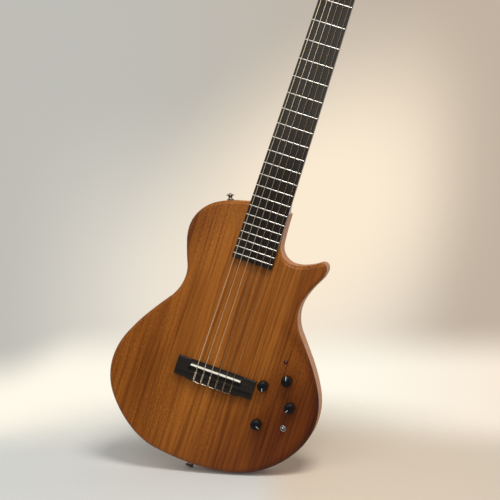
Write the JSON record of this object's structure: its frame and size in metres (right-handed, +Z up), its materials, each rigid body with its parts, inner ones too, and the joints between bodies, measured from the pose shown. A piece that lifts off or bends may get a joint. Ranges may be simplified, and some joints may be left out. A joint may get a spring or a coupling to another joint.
{
  "type": "acoustic-electric classical guitar",
  "caption": "Thin-bodied acoustic-electric guitar with a cutaway, tied nylon strings, a slotted headstock with geared tuners, and knobs on its face.",
  "frame": {"origin": "on the centreline at the nut's fingerboard-side edge, level with the soundboard's face", "axes": "+Z up along the neck to the headstock, +X to the treble side, -Y out of the face"},
  "size_m": [0.3283, 0.0812, 0.9866],
  "materials": {
    "light_core_wood": "satin clear lacquer over pale straight-grained wood",
    "brown_top_wood": "semi-gloss warm brown stain over straight grain",
    "neck_wood": "satin clear lacquer over reddish-brown wood",
    "dark_board_wood": "oiled nearly black wood",
    "fret_metal": "polished",
    "bone": "polished ivory white",
    "rod_steel": "plain",
    "pickup_strip": "plain",
    "chrome": "mirror bright",
    "roller_metal": "polished",
    "button_plastic": "pearly gloss",
    "knob_plastic": "gloss black",
    "black_plastic": "fine texture",
    "board_green": "satin",
    "pot_metal": "plain",
    "red_lens": "clear red",
    "battery_case": "plain unmarked",
    "wound_string": "silvered winding",
    "clear_string": "clear nylon"
  },
  "bodies": {
    "guitar": {"body_core": "light_core_wood", "soundboard": "brown_top_wood", "neck": "neck_wood", "headplate": "dark_board_wood", "fingerboard": "dark_board_wood", "frets": "fret_metal", "nut": "bone", "truss_rod": "rod_steel", "bridge": "dark_board_wood", "saddle": "bone", "saddle_pickup": "pickup_strip", "cavity_cover": "black_plastic", "cover_screws": "rod_steel", "battery_box": "black_plastic", "battery": "battery_case", "preamp_board": "board_green", "potentiometers": "pot_metal", "mounting_nuts": "chrome", "indicator_lens": "red_lens", "switch_body": "chrome", "output_jack": "chrome", "strap_ring": "chrome", "upper_strap_button": "chrome", "tuner_plate_bass": "chrome", "tuner_plate_treble": "chrome", "tuner_screws": "chrome", "string_6": "wound_string", "string_5": "wound_string", "string_4": "wound_string", "string_3": "clear_string", "string_2": "clear_string", "string_1": "clear_string"},
    "battery_door": {"battery_door": "black_plastic"},
    "switch_lever": {"switch_lever": "chrome"},
    "volume_control": {"volume_knob": "knob_plastic", "volume_shaft": "pot_metal"},
    "bass_control": {"bass_knob": "knob_plastic", "bass_shaft": "pot_metal"},
    "middle_control": {"middle_knob": "knob_plastic", "middle_shaft": "pot_metal"},
    "treble_control": {"treble_knob": "knob_plastic", "treble_shaft": "pot_metal"},
    "tuning_key_6": {"worm_shaft_6": "chrome", "tuner_button_6": "button_plastic"},
    "roller_6": {"string_roller_6": "roller_metal"},
    "tuning_key_5": {"worm_shaft_5": "chrome", "tuner_button_5": "button_plastic"},
    "roller_5": {"string_roller_5": "roller_metal"},
    "tuning_key_4": {"worm_shaft_4": "chrome", "tuner_button_4": "button_plastic"},
    "roller_4": {"string_roller_4": "roller_metal"},
    "tuning_key_3": {"worm_shaft_3": "chrome", "tuner_button_3": "button_plastic"},
    "roller_3": {"string_roller_3": "roller_metal"},
    "tuning_key_2": {"worm_shaft_2": "chrome", "tuner_button_2": "button_plastic"},
    "roller_2": {"string_roller_2": "roller_metal"},
    "tuning_key_1": {"worm_shaft_1": "chrome", "tuner_button_1": "button_plastic"},
    "roller_1": {"string_roller_1": "roller_metal"}
  },
  "joints": [
    {"name": "battery_door_hinge", "type": "hinge", "parent": "guitar", "child": "battery_door", "pos_m": [-0.07216, 0.04902, -0.69795], "axis": [1, 0, 0], "range_deg": [0, 95]},
    {"name": "switch_tilt", "type": "hinge", "parent": "guitar", "child": "switch_lever", "pos_m": [0.12234, 0, -0.69714], "axis": [1, 0, 0], "range_deg": [0, 24]},
    {"name": "volume_turn", "type": "hinge", "parent": "guitar", "child": "volume_control", "pos_m": [0.07364, 0, -0.64507], "axis": [0, -1, 0], "range_deg": [-150, 150]},
    {"name": "bass_turn", "type": "hinge", "parent": "guitar", "child": "bass_control", "pos_m": [0.10578, 0, -0.62621], "axis": [0, -1, 0], "range_deg": [-150, 150]},
    {"name": "middle_turn", "type": "hinge", "parent": "guitar", "child": "middle_control", "pos_m": [0.12234, 0, -0.66331], "axis": [0, -1, 0], "range_deg": [-150, 150]},
    {"name": "treble_turn", "type": "hinge", "parent": "guitar", "child": "treble_control", "pos_m": [0.08184, 0, -0.7037], "axis": [0, -1, 0], "range_deg": [-150, 150]},
    {"name": "key_6_turn", "type": "hinge", "parent": "guitar", "child": "tuning_key_6", "pos_m": [-0.0408, 0.01772, 0.06174], "axis": [0, 0.9781, -0.2079], "continuous": true},
    {"name": "roller_6_turn", "type": "hinge", "parent": "guitar", "child": "roller_6", "pos_m": [-0.0175, 0.01616, 0.05441], "axis": [1, 0, 0], "continuous": true},
    {"name": "key_5_turn", "type": "hinge", "parent": "guitar", "child": "tuning_key_5", "pos_m": [-0.0408, 0.02499, 0.09598], "axis": [0, 0.9781, -0.2079], "continuous": true},
    {"name": "roller_5_turn", "type": "hinge", "parent": "guitar", "child": "roller_5", "pos_m": [-0.0175, 0.02344, 0.08864], "axis": [1, 0, 0], "continuous": true},
    {"name": "key_4_turn", "type": "hinge", "parent": "guitar", "child": "tuning_key_4", "pos_m": [-0.0408, 0.03227, 0.13021], "axis": [0, 0.9781, -0.2079], "continuous": true},
    {"name": "roller_4_turn", "type": "hinge", "parent": "guitar", "child": "roller_4", "pos_m": [-0.0175, 0.03071, 0.12288], "axis": [1, 0, 0], "continuous": true},
    {"name": "key_3_turn", "type": "hinge", "parent": "guitar", "child": "tuning_key_3", "pos_m": [0.0408, 0.03227, 0.13021], "axis": [0, 0.9781, -0.2079], "continuous": true},
    {"name": "roller_3_turn", "type": "hinge", "parent": "guitar", "child": "roller_3", "pos_m": [0.0175, 0.03071, 0.12288], "axis": [1, 0, 0], "continuous": true},
    {"name": "key_2_turn", "type": "hinge", "parent": "guitar", "child": "tuning_key_2", "pos_m": [0.0408, 0.02499, 0.09598], "axis": [0, 0.9781, -0.2079], "continuous": true},
    {"name": "roller_2_turn", "type": "hinge", "parent": "guitar", "child": "roller_2", "pos_m": [0.0175, 0.02344, 0.08864], "axis": [1, 0, 0], "continuous": true},
    {"name": "key_1_turn", "type": "hinge", "parent": "guitar", "child": "tuning_key_1", "pos_m": [0.0408, 0.01772, 0.06174], "axis": [0, 0.9781, -0.2079], "continuous": true},
    {"name": "roller_1_turn", "type": "hinge", "parent": "guitar", "child": "roller_1", "pos_m": [0.0175, 0.01616, 0.05441], "axis": [1, 0, 0], "continuous": true}
  ],
  "couplings": [
    {"joint": "roller_6_turn", "follows": "key_6_turn", "ratio": 0.071429},
    {"joint": "roller_5_turn", "follows": "key_5_turn", "ratio": 0.071429},
    {"joint": "roller_4_turn", "follows": "key_4_turn", "ratio": 0.071429},
    {"joint": "roller_3_turn", "follows": "key_3_turn", "ratio": 0.071429},
    {"joint": "roller_2_turn", "follows": "key_2_turn", "ratio": 0.071429},
    {"joint": "roller_1_turn", "follows": "key_1_turn", "ratio": 0.071429}
  ]
}
